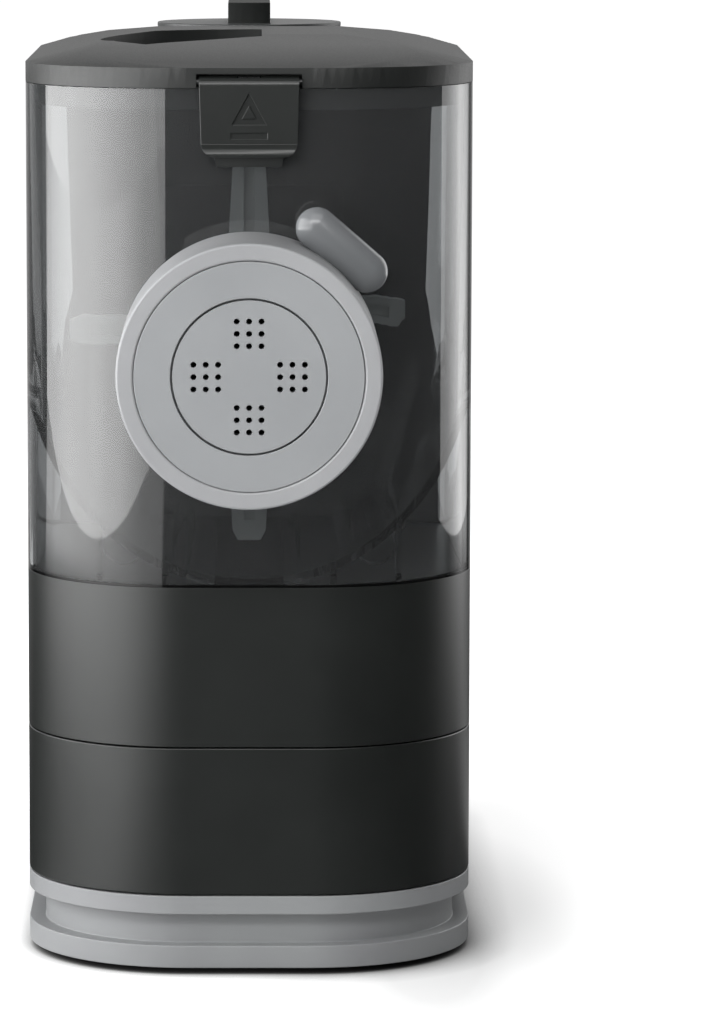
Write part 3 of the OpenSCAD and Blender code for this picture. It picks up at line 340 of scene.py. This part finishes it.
def clearPlastic(name, shades, haze, foot=None):
    made, tree = newFinish(name)
    where = addNode(tree, "ShaderNodeTexCoord", {}, {}).outputs["Object"]
    cloud = noise(tree, where, clearLook["cloud"], clearLook["cloudDetail"], clearLook["cloudRough"])
    colour = twoShades(tree, cloud, shades, (0.0, 1.0))
    side = addNode(tree, "ShaderNodeNewGeometry", {}, {})
    clear = 1.0 - haze
    if foot is not None:
        # painted shade: the lowest of the wall is near black and opaque, standing in for the shadow in the gap it
        # stands in
        joint = calc(tree, "GREATER_THAN", split(tree, where)["Z"], foot + clearLook["jointHeight"])
        clear = calc(tree, "MULTIPLY", joint, clear)
        colour = mix(tree, "RGBA", joint, linear(clearLook["joint"]), colour)
    skin = addNode(tree, "ShaderNodeBsdfPrincipled", {},
                   {"Base Color": colour, "Roughness": between(tree, cloud, noiseEnds, *clearLook["gloss"]),
                    "IOR": clearLook["bend"], "Transmission Weight": clear,
                    "Coat Weight": between(tree, side.outputs["Backfacing"], (0.0, 1.0), 1.0, clearLook["farFace"]),
                    "Coat Roughness": clearLook["coatRough"], "Coat IOR": clearLook["coat"]})
    addNode(tree, "ShaderNodeOutputMaterial", {}, {"Surface": skin.outputs["BSDF"]})
    return made


finishes = {
    # name, two shades, roughness, IOR, grain and its depth in millimetres
    "baseAbs": grainy("spark textured mid grey ABS", ("#838486", "#888a8b"), (0.42, 0.52), 1.54, 0.55, 0.02),
    "ringAbs": grainy("spark textured grey ABS", ("#929395", "#98999b"), (0.42, 0.52), 1.54, 0.55, 0.02),
    "lightAbs": grainy("satin light grey ABS", ("#8b8d8f", "#909294"), (0.36, 0.44), 1.54, 0.6, 0.01),
    "leverAbs": grainy("polished mid grey ABS", ("#6f7274", "#757779"), (0.18, 0.24), 1.54, 0.9, 0.003),
    "lidAbs": grainy("spark textured black ABS", ("#181a19", "#1c1e1d"), (0.45, 0.55), 1.54, 0.5, 0.02),
    "blackAbs": grainy("satin black ABS", ("#1f2120", "#232524"), (0.30, 0.36), 1.54, 0.5, 0.006),
    "gripAbs": grainy("satin deep black ABS", ("#141615", "#181a19"), (0.5, 0.6), 1.25, 0.5, 0.006),
    "linerAbs": grainy("satin charcoal ABS", ("#3a3c3c", "#404242"), (0.38, 0.46), 1.54, 0.6, 0.01),
    "smokedClear": clearPlastic("smoked clear copolyester", ("#c6c8c9", "#c9cbcc"), 0.034,
                                foot=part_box("mixing_chamber")[0][2]),
    "clearRidge": clearPlastic("smoked clear copolyester, ridge", ("#8f9192", "#939596"), 0.5),
    "paddlePp": grainy("moulded grey polypropylene", ("#a0a3a2", "#a6a9a8"), (0.38, 0.48), 1.49, 0.8, 0.012),
    "rubber": grainy("moulded black rubber", ("#151515", "#1b1b1b"), (0.65, 0.8), 1.52, 0.4, 0.02),
    "steel": grainy("ground bright steel", ("#b9babc", "#c4c5c7"), (0.22, 0.34), 1.45, 0.3, 0.004,
                    metal=1.0, stretch=(1, 6, 1)),
    "blackSteel": grainy("blackened steel", ("#1c1d1e", "#232425"), (0.35, 0.45), 1.6, 0.4, 0.01),
    "acetal": grainy("moulded ivory acetal", ("#dcd7c4", "#e2decc"), (0.3, 0.4), 1.48, 0.8, 0.01),
    "bronze": grainy("sintered bronze", ("#a98a55", "#b49460"), (0.4, 0.6), 1.45, 0.25, 0.02, metal=1.0),
    "dieCast": grainy("die-cast aluminium alloy", ("#8f9193", "#9a9c9e"), (0.42, 0.6), 1.45, 0.6, 0.03,
                      metal=1.0),
    "laminations": grainy("varnished iron laminations", ("#4b4c4d", "#5a5b5b"), (0.4, 0.55), 1.45, 0.5, 0.05,
                          metal=0.8, stretch=(0.05, 1, 0.05)),
    "copper": grainy("enamelled copper", ("#8e4f2c", "#a05c34"), (0.25, 0.4), 1.45, 0.6, 0.06, metal=1.0),
    "boardGreen": grainy("green solder mask", ("#1d6238", "#236b3f"), (0.25, 0.35), 1.5, 1.2, 0.01),
    "epoxy": grainy("black moulded epoxy", ("#222426", "#282a2c"), (0.4, 0.5), 1.55, 0.4, 0.015),
}

worn = {
    "baseAbs": ["base_tray"],
    "ringAbs": ["lock_ring"],
    "lightAbs": ["shaping_disc", "ring_face"],
    "leverAbs": ["ring_lever"],
    "lidAbs": ["lid", "tower_cover"],
    "blackAbs": ["main_housing", "rear_cover", "tower_back", "drawer_front", "latch"],
    "gripAbs": ["drive_plate"],
    "linerAbs": ["lid_liner", "drawer_tray", "extrusion_tube", "selector_dial", "motor_cradle",
                 "ring_sleeve", "ring_claws"],
    "smokedClear": ["mixing_chamber"],
    "clearRidge": ["latch_keeper"],
    "paddlePp": ["auger", "mixing_paddle"],
    "rubber": ["rubber_feet", "cord_inlet", "chamber_seal", "disc_seal"],
    "steel": ["base_screws", "lid_hinge_pins", "latch_spring", "dial_shaft", "output_shaft", "lay_axle",
              "gearbox_screws", "motor_shaft", "motor_bearings", "motor_bolts"],
    "blackSteel": ["latch_pin", "rear_screws", "plate_screws"],
    "acetal": ["output_gear", "lay_gears", "cooling_fan"],
    "bronze": ["output_bush", "motor_pinion", "brush_holders"],
    "dieCast": ["gearbox_case", "gearbox_cover", "motor_brackets"],
    "laminations": ["rotor", "stator"],
    "copper": ["commutator", "field_coils"],
    "boardGreen": ["control_board"],
    "epoxy": ["rotary_switch", "interlock_switch", "board_parts"],
}
for finish, names in worn.items():
    for name in names:
        mesh = frame["nodes"][name].data
        mesh.materials.clear()
        mesh.materials.append(finishes[finish])
unworn = set(frame["nodes"]).difference(*worn.values())
print("stage: finishes given, none left over" if not unworn else f"stage: without a finish: {sorted(unworn)}")


# latch: an open triangle over a bar, sunk in its face

latchMark = {
    "face": -0.1282, "depth": 0.0005, "stroke": 0.0018,
    "foot": 0.2540, "apex": 0.2633, "half": 0.0051,
    "barWidth": 0.0108, "barLow": 0.2498, "barHigh": 0.2517,
    "cutter": 0.002,            # from the cutter's front to its back
}


def latchCutter():
    mark = bmesh.new()
    half, foot, apex = latchMark["half"], latchMark["foot"], latchMark["apex"]
    plate = mark.faces.new([mark.verts.new(at) for at in ((-half, 0, foot), (half, 0, foot), (0, 0, apex))])
    plate.normal_update()
    bmesh.ops.inset_individual(mark, faces=[plate], thickness=latchMark["stroke"], use_even_offset=True)
    bmesh.ops.delete(mark, geom=[plate], context="FACES_ONLY")
    half, low, high = latchMark["barWidth"] / 2, latchMark["barLow"], latchMark["barHigh"]
    mark.faces.new([mark.verts.new(at) for at in ((-half, 0, low), (half, 0, low), (half, 0, high),
                                                  (-half, 0, high))])
    grown = bmesh.ops.extrude_face_region(mark, geom=mark.faces[:])
    back = [part for part in grown["geom"] if isinstance(part, bmesh.types.BMVert)]
    bmesh.ops.translate(mark, vec=(0, latchMark["cutter"], 0), verts=back)
    bmesh.ops.translate(mark, vec=(0, latchMark["face"] - latchMark["cutter"] + latchMark["depth"], 0),
                        verts=mark.verts)
    bmesh.ops.recalc_face_normals(mark, faces=mark.faces)
    return placeForm(mark, bpy.data.meshes.new("latchMark"), "latchMark")


# moulded pieces: the same solids with eased edges

eased = {
    # node: name of the piece, radius of its edges in millimetres, segments, sharpest turn left alone
    "base_tray": ("baseShell", 1.3, 3, 30),
    "main_housing": ("bodyShell", 0.5, 2, 30),
    "rear_cover": ("rearShell", 0.5, 2, 30),
    "tower_back": ("towerBack", 0.5, 2, 30),
    "drawer_front": ("drawerFace", 0.4, 2, 30),
    "tower_cover": ("topCover", 0.9, 3, 28),
    "lid": ("lidShell", 0.9, 3, 28),
    "drive_plate": ("drivePlate", 0.3, 2, 30),
    "mixing_chamber": ("clearShell", 0.4, 2, 30),
    "mixing_paddle": ("mixingArms", 0.7, 2, 30),
    "lock_ring": ("ringShell", 0.8, 3, 30),
    "ring_face": ("ringFront", 0.2, 2, 30),
    "shaping_disc": ("shapingDisc", 0.2, 2, 40),
    "selector_dial": ("dialKnob", 0.6, 3, 30),
    "latch": ("latchPlate", 0.16, 2, 50),
    "drawer_tray": ("drawerTray", 0.4, 2, 30),
}
cleaning = {
    "weld": 2e-6,               # metres
    "flat": 0.6,                # degrees between faces that become one
}
cutters = {"latch": latchCutter}
bodies = frame["record"]["behaviour"]["bodies"]


def standIn(piece, node):
    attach(piece, next(name for name, nodes in bodies.items() if node in nodes))
    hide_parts(node)
    return piece


def cleanCopy(node, name):
    mesh = frame["nodes"][node].data.copy()
    mesh.name = name
    form = bmesh.new()
    form.from_mesh(mesh)
    bmesh.ops.remove_doubles(form, verts=form.verts, dist=cleaning["weld"])
    bmesh.ops.dissolve_limit(form, angle_limit=math.radians(cleaning["flat"]), verts=form.verts,
                             edges=form.edges)
    return placeForm(form, mesh, name)


def sink(piece, cutter):
    # cut one piece with another and keep the result as its own mesh
    cut = piece.modifiers.new("sunkMark", "BOOLEAN")
    cut.operation = "DIFFERENCE"
    cut.solver = "MANIFOLD"
    cut.object = cutter
    bpy.context.view_layer.update()
    sunk = piece.evaluated_get(bpy.context.evaluated_depsgraph_get())
    mesh = bpy.data.meshes.new_from_object(sunk)
    piece.modifiers.clear()
    piece.data = mesh
    bpy.data.objects.remove(cutter)


def easeEdges(piece, radius, segments, sharpest):
    ease = piece.modifiers.new("easedEdges", "BEVEL")
    ease.width = radius / 1000
    ease.segments = segments
    ease.limit_method = "ANGLE"
    ease.angle_limit = math.radians(sharpest)
    ease.harden_normals = True
    ease.use_clamp_overlap = True
    piece.data.shade_smooth()
    piece.data.set_sharp_from_angle(angle=math.radians(sharpest))


pieces = {}
for node, (name, radius, segments, sharpest) in eased.items():
    piece = cleanCopy(node, name)
    if node in cutters:
        sink(piece, cutters[node]())
    easeEdges(piece, radius, segments, sharpest)
    if node in cutters:
        even = piece.modifiers.new("evenShading", "WEIGHTED_NORMAL")
        even.keep_sharp = True
    pieces[node] = standIn(piece, node)
print("stage: edges eased")


# lever: a smooth pebble on the ring's edge

lever = {
    "around": 38.5,             # degrees round the ring from straight up
    "tilt": 2.5,                # degrees that its outer end leans from the ring's tangent
    "out": 0.0433, "middle": -0.1386,
    "straight": 0.0192, "radius": 0.0062, "thick": 0.0096,
    "meridians": 48, "parallels": 32, "waist": 1e-6,
}


def pebble():
    low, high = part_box("lock_ring")
    form = bmesh.new()
    bmesh.ops.create_uvsphere(form, u_segments=lever["meridians"], v_segments=lever["parallels"],
                              radius=lever["radius"])
    for side in (1, -1):
        half = [vert for vert in form.verts if vert.co.z * side > lever["waist"]]
        bmesh.ops.translate(form, vec=(0, 0, side * lever["straight"] / 2), verts=half)
    bmesh.ops.scale(form, vec=(1, lever["thick"] / 2 / lever["radius"], 1), verts=form.verts)
    lying = Matrix.Rotation(math.radians(90 + lever["tilt"]), 3, "Y")
    bmesh.ops.rotate(form, cent=(0, 0, 0), matrix=lying, verts=form.verts)
    bmesh.ops.translate(form, vec=(0, lever["middle"], lever["out"]), verts=form.verts)
    turned = Matrix.Rotation(math.radians(lever["around"]), 3, "Y")
    bmesh.ops.rotate(form, cent=(0, 0, 0), matrix=turned, verts=form.verts)
    bmesh.ops.translate(form, vec=(0, 0, (low[2] + high[2]) / 2), verts=form.verts)
    piece = placeForm(form, bpy.data.meshes.new("leverPebble"), "leverPebble")
    piece.data.shade_smooth()
    piece.data.materials.append(finishes["leverAbs"])
    standIn(piece, "ring_lever")


pebble()
print("stage: lever shaped")


# dial: the grip is blacker than the disc it stands on

grip = {"tall": 0.007, "above": 0.0008}
dialMesh = pieces["selector_dial"].data
dialMesh.materials.append(finishes["gripAbs"])
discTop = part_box("selector_dial")[1][2] - grip["tall"] + grip["above"]
for face in dialMesh.polygons:
    if face.center.z > discTop:
        face.material_index = 1
print("stage: dial coloured")
